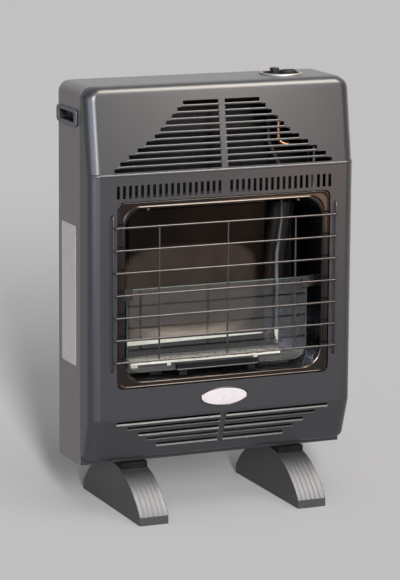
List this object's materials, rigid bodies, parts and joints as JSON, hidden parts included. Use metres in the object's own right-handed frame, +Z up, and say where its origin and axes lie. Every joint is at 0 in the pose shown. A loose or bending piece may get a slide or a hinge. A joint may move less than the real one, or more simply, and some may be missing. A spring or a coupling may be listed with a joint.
{
  "type": "portable gas cabinet heater",
  "caption": "Slim upright gas room heater: steel cabinet with louvred front, glazed firebox behind a wire guard, top control well with knob and igniter button, side grips and arched feet.",
  "frame": {"origin": "on the floor, at the middle of the feet's footprint", "axes": "+Z up, -Y out of the front with the firebox, +X to the right of someone who looks at the front"},
  "size_m": [0.4576, 0.245, 0.691],
  "materials": {
    "casing_paint": "satin charcoal enamel",
    "cabinet_paint": "satin grey-brown enamel",
    "frame_steel": "polished, dark bronze tone",
    "polished_steel": "polished steel, browned by heat",
    "dark_steel": "heat-blackened steel",
    "wire_steel": "dull bright wire and small fittings",
    "bright_strip": "bright rolled strip",
    "foot_trim": "ribbed satin aluminium",
    "glass": "clear, green-tinted edge",
    "burner_ports": "light grey, mottled",
    "brass": "machined",
    "copper": "copper tube",
    "ceramic": "white ceramic",
    "black_plastic": "moulded, matte black",
    "foot_plastic": "moulded, dark grey",
    "grip_plastic": "moulded, blue-grey",
    "rubber_lead": "lead insulation",
    "chrome_trim": "bright chrome",
    "plate": "blank pale plate"
  },
  "bodies": {
    "cabinet": {"front_casing": "casing_paint", "cabinet_wrap": "cabinet_paint", "back_panel": "cabinet_paint", "base_pan": "cabinet_paint", "firebox_frame": "frame_steel", "firebox_liner": "polished_steel", "rear_reflector": "polished_steel", "reflector_lip": "bright_strip", "heat_deflector": "dark_steel", "liner_bracket_left": "dark_steel", "liner_bracket_right": "dark_steel", "glass_pane": "glass", "glass_clip_left": "wire_steel", "glass_clip_right": "wire_steel", "glass_channel": "dark_steel", "burner_body": "dark_steel", "burner_strip": "burner_ports", "burner_lip": "bright_strip", "burner_foot_left": "dark_steel", "burner_foot_right": "dark_steel", "injector": "brass", "injector_bracket": "dark_steel", "pilot_bracket": "dark_steel", "pilot_burner": "brass", "thermocouple": "wire_steel", "electrode_ceramic": "ceramic", "electrode_tip": "wire_steel", "gas_valve": "bright_strip", "valve_bracket": "dark_steel", "control_tray": "black_plastic", "control_bezel": "chrome_trim", "knob_spring": "wire_steel", "piezo_unit": "ceramic", "igniter_spring": "wire_steel", "main_gas_pipe": "copper", "pilot_pipe": "bright_strip", "thermocouple_lead": "copper", "igniter_lead": "rubber_lead", "inlet_pipe": "copper", "hose_nozzle": "brass", "wire_guard": "wire_steel", "side_handle_left": "grip_plastic", "side_handle_right": "grip_plastic", "badge_rim": "chrome_trim", "badge_plate": "plate", "blank_plate": "plate", "foot_left": "foot_plastic", "foot_trim_left": "foot_trim", "foot_neck_left": "black_plastic", "foot_right": "foot_plastic", "foot_trim_right": "foot_trim", "foot_neck_right": "black_plastic", "frame_screw_left": "wire_steel", "frame_screw_right": "wire_steel", "pan_screw_left": "wire_steel", "pan_screw_middle": "wire_steel"},
    "plunger": {"spring_cup": "wire_steel"},
    "knob": {"valve_spindle": "wire_steel", "control_knob": "black_plastic"},
    "button": {"igniter_button": "black_plastic"}
  },
  "joints": [
    {"name": "knob_push", "type": "slide", "parent": "cabinet", "child": "plunger", "axis": [0, 0, 1], "range_m": [-0.004, 0], "stiffness_N_per_m": 1500, "springref_m": 0.002, "deforming": ["knob_spring"]},
    {"name": "knob_turn", "type": "hinge", "parent": "plunger", "child": "knob", "pos_m": [0.149, 0.0155, 0.68], "axis": [0, 0, 1], "range_deg": [0, 180]},
    {"name": "igniter_push", "type": "slide", "parent": "cabinet", "child": "button", "axis": [0, 0, 1], "range_m": [-0.005, 0], "stiffness_N_per_m": 1200, "springref_m": 0.002, "deforming": ["igniter_spring"]}
  ]
}
